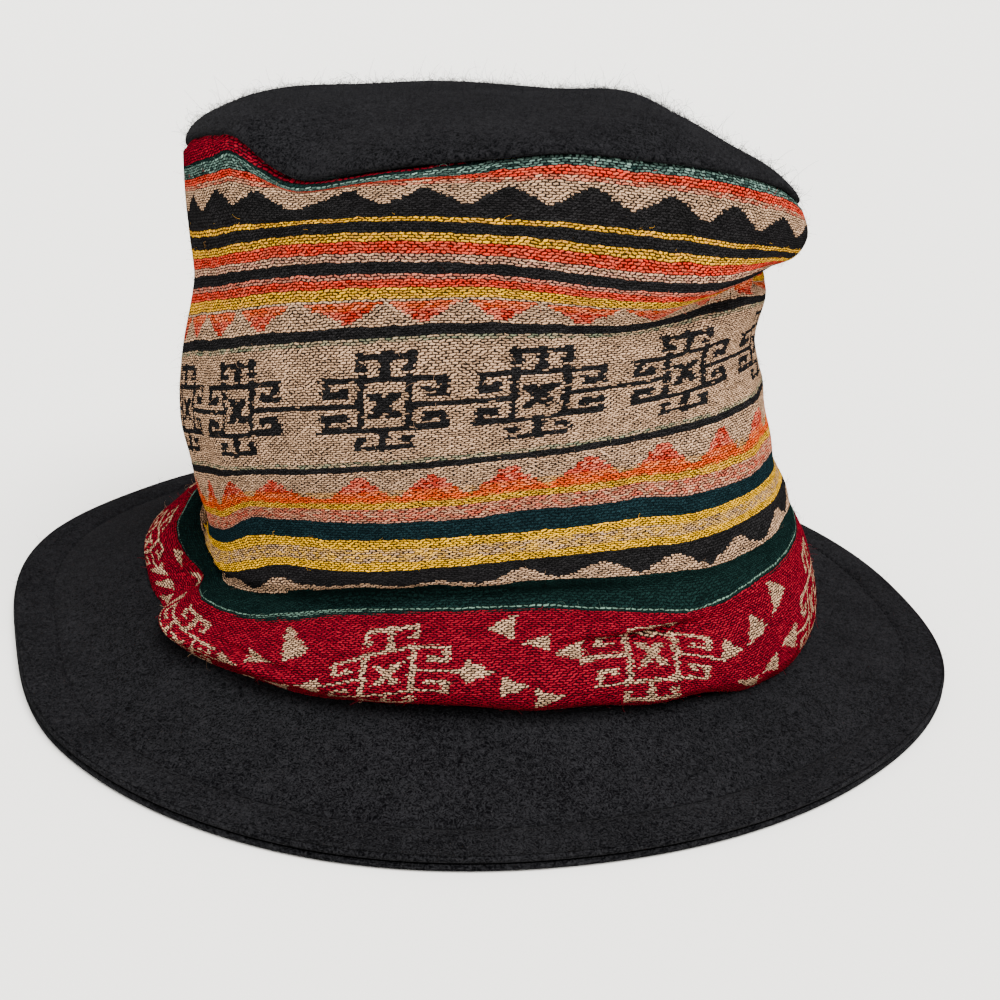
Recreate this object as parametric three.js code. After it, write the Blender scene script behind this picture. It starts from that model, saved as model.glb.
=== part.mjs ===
// A soft bucket hat: a striped woven crown wall, a domed felt crown top and a two-ply felt brim.
// Millimetres, +Z up. The brim's hem lies on z = 0 and the front of the hat faces -Y.
import * as THREE from 'three';
import { mergeVertices } from 'three/addons/utils/BufferGeometryUtils.js';

// Driving dimensions
const HEAD_HALF_WIDTH = 95;
const HEAD_HALF_DEPTH = 94;
const BRIM_WIDTH = 34.5;
const HEM_WIDTH = 10;
const SEAM_RISE = 16;
const WALL_HEIGHT = 115;
const DOME_RISE = 9;
const WALL_THICKNESS = 1.8;
const DOME_THICKNESS = 2;
const BRIM_PLY = 1.6;
const SEAM_GAP = 0.3;

// Fineness of the shells, and the smallest step of a numeric slope
const STEPS_AROUND = 72;
const STEPS_PER_RING = 2;
const DOME_SHARES = [1, 0.985, 0.94, 0.86, 0.74, 0.55, 0.3, 0];
const BRIM_STEPS = 2;
const HEM_STEPS = 1;
const NUDGE = 1e-3;

// Rings of the crown wall from the brim seam to the top seam. cloth: share of the cloth's
// height. front, right, back, left: reach as a share of the head's half depth or half width.
// h and an angle: height over the front of the brim seam there, as a share of WALL_HEIGHT,
// with angles in degrees from the front towards +X.
const RINGS = [
  ['cloth', 'front', 'right', 'back', 'left', 'h-90', 'h-60', 'h-30', 'h0', 'h30', 'h60', 'h90', 'h180'],
  [0.000, 0.985, 0.995, 1.00, 0.955, -0.01, -0.035, -0.03, 0.00, -0.02, -0.065, -0.07, -0.03],
  [0.050, 1.015, 1.000, 1.01, 0.965, 0.01, 0.000, 0.005, 0.035, 0.02, -0.02, -0.02, 0.02],
  [0.120, 0.985, 0.975, 0.98, 0.910, 0.045, 0.020, 0.045, 0.10, 0.09, 0.07, 0.07, 0.09],
  [0.200, 0.875, 0.910, 0.90, 0.840, 0.065, 0.030, 0.09, 0.168, 0.163, 0.17, 0.175, 0.17],
  [0.250, 0.850, 0.885, 0.89, 0.800, 0.07, 0.055, 0.13, 0.20, 0.21, 0.215, 0.22, 0.21],
  [0.400, 0.825, 0.815, 0.87, 0.778, 0.09, 0.14, 0.25, 0.317, 0.365, 0.36, 0.35, 0.34],
  [0.530, 0.814, 0.768, 0.86, 0.822, 0.22, 0.275, 0.368, 0.443, 0.49, 0.505, 0.495, 0.47],
  [0.635, 0.808, 0.730, 0.855, 0.845, 0.35, 0.41, 0.505, 0.57, 0.60, 0.61, 0.585, 0.57],
  [0.740, 0.803, 0.738, 0.85, 0.838, 0.48, 0.55, 0.645, 0.705, 0.705, 0.715, 0.68, 0.68],
  [0.840, 0.803, 0.755, 0.85, 0.808, 0.63, 0.69, 0.775, 0.815, 0.788, 0.793, 0.74, 0.79],
  [0.905, 0.803, 0.774, 0.85, 0.815, 0.745, 0.785, 0.865, 0.90, 0.88, 0.832, 0.79, 0.86],
  [1.000, 0.793, 0.800, 0.84, 0.830, 0.91, 0.99, 0.955, 1.00, 1.005, 0.95, 0.88, 0.97],
];
const HEIGHT_ANGLES = [-90, -60, -30, 0, 30, 60, 90, 180];

// Folds and dents of the crown wall. at, up: middle, in degrees and cloth share. along, across:
// half extent in degrees and cloth share. slant: cloth share gained for each degree. out: push
// away from the axis as a share of the head's half size. lift: share of WALL_HEIGHT.
const FOLDS = [
  ['at', 'up', 'along', 'across', 'slant', 'out', 'lift'],
  [-74, 0.100, 7, 0.160, 0, -0.055, 0.01],
  [-60, 0.060, 12, 0.060, 0, -0.015, 0],
  [-40, 0.120, 16, 0.030, -0.0012, -0.03, 0],
  [-12, 0.225, 44, 0.025, 0, -0.035, 0],
  [-5, 0.070, 55, 0.050, 0, 0.015, 0],
  [22, 0.120, 24, 0.030, 0.0009, -0.028, 0],
  [-84, 0.620, 26, 0.080, 0, 0.008, 0],
  [-62, 0.620, 6, 0.200, 0, -0.018, 0],
  [62, 0.780, 30, 0.035, 0.0018, -0.03, 0],
  [62, 0.865, 28, 0.032, 0.0018, 0.012, 0],
  [88, 0.955, 22, 0.035, 0, 0.05, 0],
  [90, 0.900, 22, 0.030, 0, -0.015, 0],
  [-33, 1.000, 10, 0.070, 0, -0.01, -0.025],
  [12, 1.000, 10, 0.050, 0, 0, 0.012],
];

// Fullness of the dome by angle: a high power keeps it flat and turns it down late, and a high
// shoulder ends it in an upright edge.
const DOME_SHAPE = [
  ['angle', 'power', 'shoulder'],
  [-90, 3.5, 1.7], [-30, 3.6, 1.75], [30, 4.2, 1.7], [60, 3.5, 1.3], [90, 2.7, 1.1], [180, 4.5, 1.7],
];

// Reach of the brim's outer edge by angle, as a share of its even oval.
const BRIM_OUTLINE = [
  ['angle', 'reach'],
  [-120, 0.990], [-98, 1.003], [-68, 0.958], [-42, 1.003], [-14, 1.020],
  [18, 0.988], [46, 0.983], [76, 1.008], [100, 0.987], [180, 1],
];

const COLOURS = { weave: 0xb08a6c, felt: 0x1b1c1e };
const WOOL_ROUGHNESS = 0.95;

const records = ([names, ...lines]) =>
  lines.map((line) => Object.fromEntries(names.map((name, i) => [name, line[i]])));
const rings = records(RINGS);
const folds = records(FOLDS);
const domeShape = records(DOME_SHAPE);
const brimOutline = records(BRIM_OUTLINE);

// Smooth curve through the points (xs, ys), with central slopes. It closes on itself after a period.
function curve(xs, ys, x, period = 0) {
  const count = xs.length;
  const last = period ? count - 1 : count - 2;
  const point = (k) => {
    const turn = Math.floor(k / count);
    return [xs[k - turn * count] + turn * period, ys[k - turn * count]];
  };
  const slope = (a, b) => (point(b)[1] - point(a)[1]) / (point(b)[0] - point(a)[0]);
  let k = 0;
  while (k < last && x >= point(k + 1)[0]) k += 1;
  const [x0, y0] = point(k);
  const [x1, y1] = point(k + 1);
  const width = x1 - x0;
  const leave = period || k > 0 ? slope(k - 1, k + 1) : slope(k, k + 1);
  const arrive = period || k < last ? slope(k, k + 2) : slope(k, k + 1);
  const t = (x - x0) / width;
  const ease = t * t * (3 - 2 * t);
  return y0 + (y1 - y0) * ease + width * t * (1 - t) * (leave * (1 - t) - arrive * t);
}

// Value of one column of a table at an angle in degrees.
function around(table, name, degrees) {
  const first = table[0].angle;
  const turned = THREE.MathUtils.euclideanModulo(degrees - first, 360) + first;
  return curve(table.map((row) => row.angle), table.map((row) => row[name]), turned, 360);
}

// The ring table's columns at any share of the cloth's height, worked out once for each share.
const ringCache = new Map();
function ringAt(cloth) {
  if (!ringCache.has(cloth)) {
    const shares = rings.map((ring) => ring.cloth);
    const value = (name) => curve(shares, rings.map((ring) => ring[name]), cloth);
    const heights = HEIGHT_ANGLES.map((angle) => ({ angle, height: value(`h${angle}`) }));
    const [front, right, back, left] = ['front', 'right', 'back', 'left'].map(value);
    ringCache.set(cloth, { front, right, back, left, heights });
  }
  return ringCache.get(cloth);
}

// Push and lift of all folds at one place of the wall.
function foldsAt(degrees, cloth) {
  const sum = { out: 0, lift: 0 };
  for (const fold of folds) {
    const turn = THREE.MathUtils.euclideanModulo(degrees - fold.at + 180, 360) - 180;
    const climb = cloth - fold.up - fold.slant * turn;
    const weight = Math.exp(-((turn / fold.along) ** 2) - (climb / fold.across) ** 2);
    sum.out += fold.out * weight;
    sum.lift += fold.lift * weight;
  }
  return sum;
}

// Outer face of the crown wall at an angle in radians and a share of the cloth's height.
function wallPoint(angle, cloth) {
  const degrees = THREE.MathUtils.radToDeg(angle);
  const ring = ringAt(cloth);
  const fold = foldsAt(degrees, cloth);
  const side = Math.sin(angle);
  const ahead = Math.cos(angle);
  const width = (side > 0 ? ring.right : ring.left) + fold.out;
  const depth = (ahead > 0 ? ring.front : ring.back) + fold.out;
  return new THREE.Vector3(
    HEAD_HALF_WIDTH * width * side,
    -HEAD_HALF_DEPTH * depth * ahead,
    SEAM_RISE + WALL_HEIGHT * (around(ring.heights, 'height', degrees) + fold.lift),
  );
}

// Outer face of the dome from its middle, share 0, to the top seam, share 1.
function domePoint(angle, share) {
  const rim = wallPoint(angle, 1);
  const rimHeight = rim.z + SEAM_GAP;
  const degrees = THREE.MathUtils.radToDeg(angle);
  const shoulder = around(domeShape, 'shoulder', degrees);
  const full = Math.max(0, 1 - share ** around(domeShape, 'power', degrees)) ** (1 / shoulder);
  const summit = SEAM_RISE + WALL_HEIGHT + DOME_RISE;
  return new THREE.Vector3(rim.x * share, rim.y * share, rimHeight + (summit - rimHeight) * full);
}

// Upper face of the brim from under the crown wall, share 0, over the hem's start, share 1, to
// the outer edge, share 2.
function brimPoint(angle, share) {
  const seam = wallPoint(angle, 0);
  const reach = Math.hypot(seam.x, seam.y);
  const stretch = around(brimOutline, 'reach', THREE.MathUtils.radToDeg(angle));
  const edgeX = (HEAD_HALF_WIDTH + BRIM_WIDTH) * stretch * Math.sin(angle);
  const edgeY = -(HEAD_HALF_DEPTH + BRIM_WIDTH) * stretch * Math.cos(angle);
  const edge = Math.hypot(edgeX, edgeY);
  const start = new THREE.Vector2(seam.x, seam.y).multiplyScalar(1 - WALL_THICKNESS / reach);
  const hem = new THREE.Vector2(edgeX, edgeY).multiplyScalar(1 - HEM_WIDTH / edge);
  const hemTop = 2 * BRIM_PLY + SEAM_GAP;
  const flat = share <= 1
    ? start.lerp(hem, share)
    : hem.lerp(new THREE.Vector2(edgeX, edgeY), share - 1);
  const height = hemTop + (seam.z - SEAM_GAP - hemTop) * Math.max(0, 1 - share);
  return new THREE.Vector3(flat.x, flat.y, height);
}

// Angles of the vertices around every shell.
const ANGLES = Array.from({ length: STEPS_AROUND }, (_, i) => (2 * Math.PI * i) / STEPS_AROUND);

// One row of points set back from a face by a thickness, level with it where it is an end row.
function setBack(face, share, limits, thickness, level) {
  return ANGLES.map((angle) => {
    const along = face(angle + NUDGE, share).sub(face(angle - NUDGE, share));
    const above = face(angle, Math.min(share + NUDGE, limits[1]));
    const below = face(angle, Math.max(share - NUDGE, limits[0]));
    const rise = level ? new THREE.Vector3(0, 0, 1) : above.sub(below);
    if (level) along.z = 0;
    const normal = along.cross(rise).normalize();
    return face(angle, share).addScaledVector(normal, -thickness);
  });
}

// Closed solid between an outer and an inner grid of rows, joined at the first row, and at the
// last row too unless the rows close in a point there.
function closedSolid(outer, inner, pointed) {
  const corners = [];
  const quad = (a, b, c, d) => {
    for (const triangle of [[a, b, c], [a, c, d]]) {
      const [p, q, r] = triangle;
      if (p.equals(q) || q.equals(r) || r.equals(p)) continue;
      corners.push(p, q, r);
    }
  };
  const last = outer.length - 1;
  for (let i = 0; i < STEPS_AROUND; i += 1) {
    const j = (i + 1) % STEPS_AROUND;
    for (let row = 0; row < last; row += 1) {
      quad(outer[row][i], outer[row][j], outer[row + 1][j], outer[row + 1][i]);
      quad(inner[row][j], inner[row][i], inner[row + 1][i], inner[row + 1][j]);
    }
    quad(inner[0][i], inner[0][j], outer[0][j], outer[0][i]);
    if (!pointed) quad(outer[last][i], outer[last][j], inner[last][j], inner[last][i]);
  }
  const geometry = new THREE.BufferGeometry().setFromPoints(corners);
  return mergeVertices(geometry, NUDGE);
}

function wallGeometry() {
  const shares = [];
  for (let k = 1; k < rings.length; k += 1) {
    const low = rings[k - 1].cloth;
    const step = (rings[k].cloth - low) / STEPS_PER_RING;
    for (let i = 0; i < STEPS_PER_RING; i += 1) shares.push(low + i * step);
  }
  shares.push(1);
  const outer = shares.map((share) => ANGLES.map((angle) => wallPoint(angle, share)));
  const inner = shares.map((share) =>
    setBack(wallPoint, share, [0, 1], WALL_THICKNESS, share === 0 || share === 1));
  return closedSolid(outer, inner, false);
}

function domeGeometry() {
  const top = domePoint(0, 0);
  const sunk = top.clone().setZ(top.z - DOME_THICKNESS);
  const outer = DOME_SHARES.map((share) =>
    ANGLES.map((angle) => (share === 0 ? top : domePoint(angle, share))));
  const outwards = (angle, share) => domePoint(angle, 1 - share);
  const inner = DOME_SHARES.map((share) =>
    (share === 0 ? ANGLES.map(() => sunk) : setBack(outwards, 1 - share, [0, 1], DOME_THICKNESS, share === 1)));
  return closedSolid(outer, inner, true);
}

// One ply of the brim, sunk by a depth below the brim's upper face.
function plyGeometry(depth) {
  const shares = [];
  for (let i = 0; i < BRIM_STEPS; i += 1) shares.push(i / BRIM_STEPS);
  for (let i = 0; i <= HEM_STEPS; i += 1) shares.push(1 + i / HEM_STEPS);
  const sunk = (below) => shares.map((share) =>
    ANGLES.map((angle) => brimPoint(angle, share).add(new THREE.Vector3(0, 0, -below))));
  return closedSolid(sunk(depth + BRIM_PLY), sunk(depth), false);
}

const hat = new THREE.Group();
function addPiece(name, geometry, color) {
  const material = new THREE.MeshStandardMaterial({ color, roughness: WOOL_ROUGHNESS, metalness: 0 });
  const mesh = new THREE.Mesh(geometry, material);
  mesh.name = name;
  hat.add(mesh);
}

addPiece('crown_side', wallGeometry(), COLOURS.weave);
addPiece('crown_top', domeGeometry(), COLOURS.felt);
addPiece('brim_upper', plyGeometry(0), COLOURS.felt);
addPiece('brim_under', plyGeometry(BRIM_PLY + SEAM_GAP), COLOURS.felt);

// The origin is the middle of the hat's outline on the table.
const middle = new THREE.Box3().setFromObject(hat).getCenter(new THREE.Vector3());
hat.position.set(-middle.x, -middle.y, 0);

export default hat;
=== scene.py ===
"""A soft bucket hat: a striped woven crown wall with a black wool felt top and brim."""
import math

import bpy
import numpy as np
from mathutils import Matrix, Vector


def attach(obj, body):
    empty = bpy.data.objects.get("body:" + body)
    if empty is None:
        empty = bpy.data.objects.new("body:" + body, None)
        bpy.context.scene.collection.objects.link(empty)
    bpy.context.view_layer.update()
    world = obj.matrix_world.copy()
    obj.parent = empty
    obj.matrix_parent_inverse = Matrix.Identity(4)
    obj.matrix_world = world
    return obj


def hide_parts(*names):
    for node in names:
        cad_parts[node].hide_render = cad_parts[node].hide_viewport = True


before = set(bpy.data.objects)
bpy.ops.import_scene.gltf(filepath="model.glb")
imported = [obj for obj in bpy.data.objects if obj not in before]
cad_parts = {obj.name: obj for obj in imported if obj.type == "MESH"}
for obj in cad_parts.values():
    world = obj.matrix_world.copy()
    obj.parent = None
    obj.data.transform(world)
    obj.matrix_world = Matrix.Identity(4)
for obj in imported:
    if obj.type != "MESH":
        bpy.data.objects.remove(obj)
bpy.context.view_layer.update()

MM = 0.001

# Sizes of the solids, in metres
HEAD_HALF_WIDTH = 95 * MM
HEAD_HALF_DEPTH = 94 * MM
BRIM_WIDTH = 34.5 * MM
HEM_WIDTH = 10 * MM
SEAM_RISE = 16 * MM
WALL_HEIGHT = 115 * MM
DOME_RISE = 9 * MM
WALL_THICKNESS = 1.8 * MM
DOME_THICKNESS = 2 * MM
BRIM_PLY = 1.6 * MM
SEAM_GAP = 0.3 * MM
# Shift that puts the middle of the brim's outline at the origin
MIDDLE = np.array([-0.0989, 0.6381, 0]) * MM

# Rings of the crown wall, from the brim seam to the top seam. cloth: share of the cloth's height.
# front to left: reach as a share of the head's half size. h and an angle: height as a share.
RINGS = [
    ("cloth", "front", "right", "back", "left", "h-90", "h-60", "h-30", "h0", "h30", "h60", "h90", "h180"),
    (0.000, 0.985, 0.995, 1.00, 0.955, -0.01, -0.035, -0.03, 0.00, -0.02, -0.065, -0.07, -0.03),
    (0.050, 1.015, 1.000, 1.01, 0.965, 0.01, 0.000, 0.005, 0.035, 0.02, -0.02, -0.02, 0.02),
    (0.120, 0.985, 0.975, 0.98, 0.910, 0.045, 0.020, 0.045, 0.10, 0.09, 0.07, 0.07, 0.09),
    (0.200, 0.875, 0.910, 0.90, 0.840, 0.065, 0.030, 0.09, 0.168, 0.163, 0.17, 0.175, 0.17),
    (0.250, 0.850, 0.885, 0.89, 0.800, 0.07, 0.055, 0.13, 0.20, 0.21, 0.215, 0.22, 0.21),
    (0.400, 0.825, 0.815, 0.87, 0.778, 0.09, 0.14, 0.25, 0.317, 0.365, 0.36, 0.35, 0.34),
    (0.530, 0.814, 0.768, 0.86, 0.822, 0.22, 0.285, 0.384, 0.460, 0.50, 0.508, 0.495, 0.47),
    (0.635, 0.808, 0.733, 0.855, 0.845, 0.35, 0.41, 0.505, 0.57, 0.60, 0.61, 0.585, 0.57),
    (0.740, 0.803, 0.748, 0.85, 0.838, 0.48, 0.55, 0.645, 0.705, 0.705, 0.715, 0.68, 0.68),
    (0.840, 0.803, 0.768, 0.85, 0.808, 0.63, 0.69, 0.775, 0.815, 0.788, 0.793, 0.74, 0.79),
    (0.905, 0.803, 0.774, 0.85, 0.815, 0.745, 0.785, 0.865, 0.90, 0.88, 0.832, 0.79, 0.86),
    (1.000, 0.793, 0.800, 0.84, 0.830, 0.91, 0.99, 0.955, 1.00, 1.005, 0.95, 0.88, 0.97),
]
HEIGHT_ANGLES = (-90, -60, -30, 0, 30, 60, 90, 180)

# Folds and dents of the wall, of which the solids have a plainer set. at and along: place and
# reach in degrees round the hat. up and across: the same up the cloth, as shares of its height.
# slant: share that it climbs in each degree. out: share of the head's half size. lift: share of
# the wall's height.
FOLDS = [
    ("at", "up", "along", "across", "slant", "out", "lift"),
    (-62, 0.080, 5, 0.070, 0, -0.085, 0),
    (-66, 0.145, 7, 0.100, 0, -0.045, 0),
    (-74, 0.090, 7, 0.080, 0, -0.025, 0),
    (-72, 0.235, 13, 0.032, 0, -0.050, 0),
    (-49, 0.030, 9, 0.060, 0, 0.030, 0),
    (-60, 0.060, 12, 0.060, 0, -0.010, 0),
    (-85, 0.275, 26, 0.045, 0, 0, -0.030),
    (-40, 0.120, 16, 0.030, -0.0012, -0.02, 0),
    (-34, 0.082, 10, 0.013, -0.0009, -0.022, 0),
    (-34, 0.110, 10, 0.018, -0.0009, 0.010, 0),
    (-12, 0.225, 44, 0.025, 0, -0.052, 0),
    (-5, 0.070, 55, 0.050, 0, 0.015, 0),
    (27, 0.140, 17, 0.018, 0.0004, -0.050, 0),
    (25, 0.176, 18, 0.020, 0.0004, 0.016, 0),
    (-84, 0.620, 26, 0.080, 0, 0.008, 0),
    (-62, 0.620, 6, 0.200, 0, -0.018, 0),
    (62, 0.780, 30, 0.035, 0.0018, -0.062, 0),
    (62, 0.865, 28, 0.034, 0.0018, 0.026, -0.004),
    (44, 0.850, 12, 0.050, 0.0010, 0.006, -0.010),
    (88, 0.940, 22, 0.050, 0, 0.055, 0),
    (90, 0.850, 22, 0.022, 0, -0.022, 0),
    (-33, 1.000, 10, 0.070, 0, -0.01, -0.025),
    (-47, 1.000, 6, 0.070, 0, 0, 0.013),
    (-64, 1.000, 10, 0.070, 0, 0, -0.018),
    (12, 1.000, 10, 0.050, 0, 0, 0.012),
]

# Fullness of the dome by angle
DOME_SHAPE = [
    ("angle", "power", "shoulder"),
    (-90, 4.2, 2.0), (-30, 3.6, 1.75), (30, 4.2, 1.7), (60, 3.5, 1.3), (90, 2.7, 1.1), (180, 4.5, 1.7),
]

# Reach of the brim's outer edge by angle
BRIM_OUTLINE = [
    ("angle", "reach"),
    (-120, 0.990), (-98, 1.003), (-68, 0.958), (-42, 1.003), (-14, 1.020),
    (18, 0.988), (46, 0.983), (76, 1.008), (100, 0.987), (180, 1),
]

# Unevenness of the dome across the hat: place of its middle, reach and rise
DOME_SWELLS = [
    ("at", "reach", "rise"),
    (-41 * MM, 17 * MM, -1.6 * MM), (33 * MM, 13 * MM, 2.4 * MM), (57 * MM, 9 * MM, -0.9 * MM),
]

# Millimetres up the cloth for each share of it, below the dash row and above the dark teal stripe
CLOTH_MM = [
    ("share", "up"),
    (0, 0), (0.05, 7), (0.12, 17), (0.53, 70.7), (0.635, 85.2),
    (0.74, 100.1), (0.84, 113.1), (0.905, 122.4), (1, 136.4),
]
# Shares at which the stripes between them end, by angle, and their heights up the cloth
EDGES = [
    ("angle", "dashes", "green", "black", "yellow", "teal"),
    (-90, 0.172, 0.215, 0.258, 0.355, 0.395), (-60, 0.173, 0.218, 0.262, 0.365, 0.402),
    (-45, 0.172, 0.217, 0.295, 0.402, 0.438), (-37, 0.183, 0.222, 0.315, 0.395, 0.433),
    (-23, 0.205, 0.252, 0.303, 0.385, 0.423), (-3, 0.198, 0.246, 0.308, 0.386, 0.422),
    (10, 0.203, 0.262, 0.315, 0.380, 0.423), (22, 0.200, 0.258, 0.313, 0.373, 0.410),
    (30, 0.192, 0.253, 0.310, 0.369, 0.406), (38, 0.182, 0.242, 0.300, 0.358, 0.392),
    (54, 0.190, 0.232, 0.305, 0.358, 0.390), (100, 0.195, 0.245, 0.295, 0.358, 0.390),
    (180, 0.200, 0.250, 0.300, 0.360, 0.395),
]
EDGE_MM = (28.0, 35.5, 42.2, 50.4, 54.2)
# Millimetres by which the pattern of the low cloth is moved up in its tucks, by angle and share
TUCKS = [
    ("angle", 0.0, 0.05, 0.088, 0.12, 0.16, 0.20),
    (-60, 4, 4, 3.5, 3, 2, 0), (-38, 7.5, 7.5, 7, 6, 3, 0), (-27, 7.5, 7.5, 7.2, 6.6, 3, 0),
    (-21, 7, 7, 6.2, 5, 2, 0), (-14, 2.5, 2, 1.7, 1.3, 0.7, 0), (-10, 0.5, 0, 0, 0, 0, 0),
    (-6, -1.5, -1.6, -1.5, -1.4, -1, 0), (2, -1.5, -1.5, -1.4, -1.2, -0.6, 0),
    (10, -0.5, -1, -1.6, -1.6, -0.5, 0), (20, 0, -3.6, -4.4, -4.6, -1.2, 0),
    (32, 0, -3.6, -4.6, -4.9, -1.2, 0), (40, 0, -1.5, -1.8, -1.5, -0.5, 0),
    (48, 3, 3, 2.2, 1.5, 0.7, 0), (60, 3, 3.5, 3.5, 3.5, 1.5, 0),
    (75, 2, 2, 2, 2, 1, 0), (120, 0, 0, 0, 0, 0, 0), (-150, 0, 0, 0, 0, 0, 0),
]
# More cloth, in millimetres, that shows below the top seam by angle. edge: in its last 2 mm only.
TOP_EXTRA = [
    ("angle", "more", "edge"),
    (-120, 0.3, 0), (-90, 6.3, 0), (-60, 6.3, 0), (-45, 3.3, 0), (-33, -3.7, 5.4),
    (-15, -0.7, 2.6), (-4, -0.1, 1.6), (2, 0, 0), (90, 0, 0),
]
# Figures of the pattern passed by each place round the cloth, where it is cut 486 mm round
CLOTH_ROUND = 486
FIGURES_ROUND = [
    ("place", "figure"),
    (-243, -5.5), (-150, -2.72), (-77, -0.42), (-62.5, 0), (-48.4, 0.4), (-34.8, 0.61),
    (-20.5, 1), (-6.8, 1.4), (13.4, 2), (51.2, 3), (72, 3.5), (95, 4), (160, 5.9), (243, 8.5),
]
FIGURE_PITCH = 32.3
# The same for the red band, in millimetres of its own pattern for real ones round the cloth
RED_ROUND = [
    ("place", "red"),
    (-300, -282), (-95, -76), (-75, -58.7), (-62.3, -44), (-52.3, -34), (-41.4, -25), (-16.2, 0), (2.8, 18),
    (18.8, 34), (44.4, 58.7), (66.7, 76), (82, 88), (95.6, 98.5), (107, 107), (125, 121), (300, 296),
]
RED_PITCH = 58.7
RED_TOP = 28.0

# Share of the cloth up to which the tucks reach, and at which the red band's girth is taken
LOW_CLOTH = 0.2
RED_SHARE = 0.1
# Share at which the extra cloth below the top seam begins, over how much more it is all there,
# and where the last 2 mm of cloth begin
EXTRA_FROM = 0.93
EXTRA_OVER = 0.07
EXTRA_EDGE = 0.982
# The red band's pattern widens to the full girth from this far from the front, over this much
# more, in millimetres
BEHIND_FROM = 120
BEHIND_OVER = 80
# Millimetres by which the red band's pattern reaches over its top line
RED_OVER = 1.5
# Small ripples of the wall, the dome and the brim, in millimetres
WALL_RIPPLE = 0.3
DOME_RIPPLE = 0.4
BRIM_SWAY = 0.3
# Radius in millimetres at which the edges of the wall and the dome roll in, and the share of its
# thickness by which a ply's edge is drawn in
LOW_ROLL = 2.2
TOP_ROLL = 1.6
DOME_ROLL = 1.6
PLY_ROLL = 0.45
# Depth of the groove along the stitches and height of the hem beyond it, in millimetres
HEM_GROOVE = -0.3
HEM_PUFF = 0.15

# Loose fibres. longest: in millimetres. lean_from and lean_to: degrees from the face. curl: most
# that one turns, in radians. seed: of its chance. parts: along its tube. thick: half thickness at
# its root, in millimetres.
FIBRES = [
    ("name", "count", "longest", "lean_from", "lean_to", "curl", "seed", "parts", "thick"),
    ("nap_a", 6300, 2.2, 8, 50, 1.8, 41, 2, 0.032),
    ("nap_b", 3000, 4.6, 20, 85, 3.6, 42, 4, 0.034),
    ("nap_e", 900, 8.0, 25, 88, 5.5, 47, 7, 0.038),
    ("nap_c", 9000, 2.0, 6, 40, 1.8, 43, 2, 0.032),
    ("nap_d", 3400, 3.6, 10, 70, 3.6, 44, 4, 0.03),
    ("fuzz_a", 9000, 1.3, 8, 60, 2.0, 45, 2, 0.026),
    ("fuzz_b", 3200, 3.4, 25, 85, 3.8, 46, 4, 0.03),
]
# A fibre's thickness at its tip as a share of that at its root, the millimetres that it starts
# below the face, and the angles of its three sides in radians
FIBRE_TIP = 0.45
FIBRE_DEPTH = 0.1
FIBRE_TURNS = (0, 2.094, 4.189)


def columns(table):
    """Each column of a table by its name."""
    names, *lines = table
    return {name: np.array([line[i] for line in lines], float) for i, name in enumerate(names)}


rings = columns(RINGS)
round_table = columns(FIGURES_ROUND)
red_table = columns(RED_ROUND)
cloth_table = columns(CLOTH_MM)
edges = columns(EDGES)
tucks = columns(TUCKS)
top_extra = columns(TOP_EXTRA)
dome_shape = columns(DOME_SHAPE)
brim_outline = columns(BRIM_OUTLINE)
folds = [dict(zip(FOLDS[0], line)) for line in FOLDS[1:]]


def curve(xs, ys, x, period=0.0):
    """Smooth curve through points, with central slopes; it closes on itself after a period."""
    xs, ys, x = (np.asarray(values, float) for values in (xs, ys, x))
    if period:
        x = (x - xs[0]) % period + xs[0]
        xs = np.concatenate([xs[-1:] - period, xs, xs[:2] + period])
        ys = np.concatenate([ys[-1:], ys, ys[:2]])
    slopes = np.empty_like(xs)
    slopes[1:-1] = (ys[2:] - ys[:-2]) / (xs[2:] - xs[:-2])
    slopes[0] = (ys[1] - ys[0]) / (xs[1] - xs[0])
    slopes[-1] = (ys[-1] - ys[-2]) / (xs[-1] - xs[-2])
    k = np.clip(np.searchsorted(xs, x, side="right") - 1, 0, len(xs) - 2)
    width = xs[k + 1] - xs[k]
    t = (x - xs[k]) / width
    ease = t * t * (3 - 2 * t)
    bend = slopes[k] * (1 - t) - slopes[k + 1] * t
    return ys[k] + (ys[k + 1] - ys[k]) * ease + width * t * (1 - t) * bend


def around(table, name, angle):
    """A column of a table that goes round the hat, at angles in radians."""
    return curve(table["angle"], table[name], np.degrees(angle), 360)


def ripples(seed, angle, up, waves, size, climb):
    """Smooth seeded unevenness, about -1 to 1, over angle and height."""
    rng = np.random.default_rng(seed)
    total = np.zeros(np.broadcast(angle, up).shape)
    for _ in range(waves):
        turns = rng.integers(1, size)
        climbs = rng.uniform(-climb, climb)
        total = total + np.sin(turns * angle + climbs * up + rng.uniform(0, 2 * math.pi))
    return total / math.sqrt(waves)


def wall_row(angle, share):
    """Outer face of the crown wall on one ring."""
    degrees = np.degrees(angle)
    value = {name: float(curve(rings["cloth"], rings[name], share)) for name in rings}
    out = np.zeros_like(angle)
    lift = np.zeros_like(angle)
    for fold in folds:
        turn = (degrees - fold["at"] + 180) % 360 - 180
        climb = share - fold["up"] - fold["slant"] * turn
        weight = np.exp(-(turn / fold["along"]) ** 2 - (climb / fold["across"]) ** 2)
        out += fold["out"] * weight
        lift += fold["lift"] * weight
    side, ahead = np.sin(angle), np.cos(angle)
    width = np.where(side > 0, value["right"], value["left"]) + out
    depth = np.where(ahead > 0, value["front"], value["back"]) + out
    heights = [value["h%d" % a] for a in HEIGHT_ANGLES]
    rise = curve(HEIGHT_ANGLES, heights, degrees, 360)
    return np.stack([
        HEAD_HALF_WIDTH * width * side,
        -HEAD_HALF_DEPTH * depth * ahead,
        SEAM_RISE + WALL_HEIGHT * (rise + lift),
    ], -1)


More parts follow.
